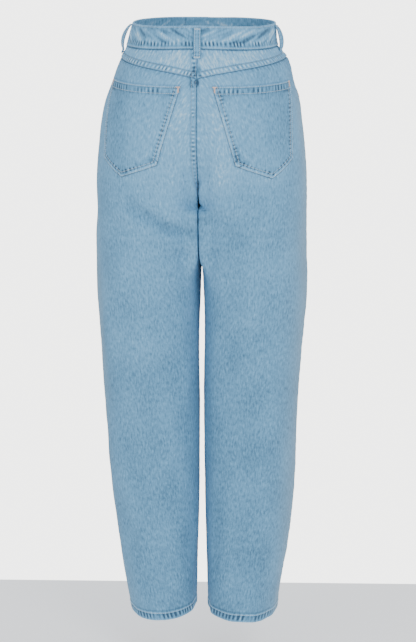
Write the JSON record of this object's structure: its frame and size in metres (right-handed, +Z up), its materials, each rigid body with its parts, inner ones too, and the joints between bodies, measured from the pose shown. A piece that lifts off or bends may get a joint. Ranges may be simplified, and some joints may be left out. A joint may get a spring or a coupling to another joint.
{
  "type": "jeans",
  "caption": "High-waisted tapered jeans in pale denim, hollow and shaped as worn, with a back yoke, patch pockets, belt loops and a buttoned waistband.",
  "frame": {"origin": "middle of the waist opening, level with the top of the waistband", "axes": "+Z up the wearer's body, -Y the way the wearer faces, +X the wearer's left"},
  "size_m": [0.3628, 0.2364, 1.0383],
  "materials": {
    "denim": "pale, stone-washed blue denim, matt",
    "button": "worn silver-coloured metal"
  },
  "bodies": {
    "root": {"front_left": "denim", "front_right": "denim", "back_left": "denim", "back_right": "denim", "yoke_left": "denim", "yoke_right": "denim", "waistband": "denim", "fly": "denim", "pocket_back_left": "denim", "pocket_back_right": "denim", "pocket_facing_left": "denim", "pocket_facing_right": "denim", "belt_loop_back": "denim", "belt_loop_side_left": "denim", "belt_loop_side_right": "denim", "belt_loop_front_left": "denim", "belt_loop_front_right": "denim", "button": "button"}
  },
  "joints": []
}
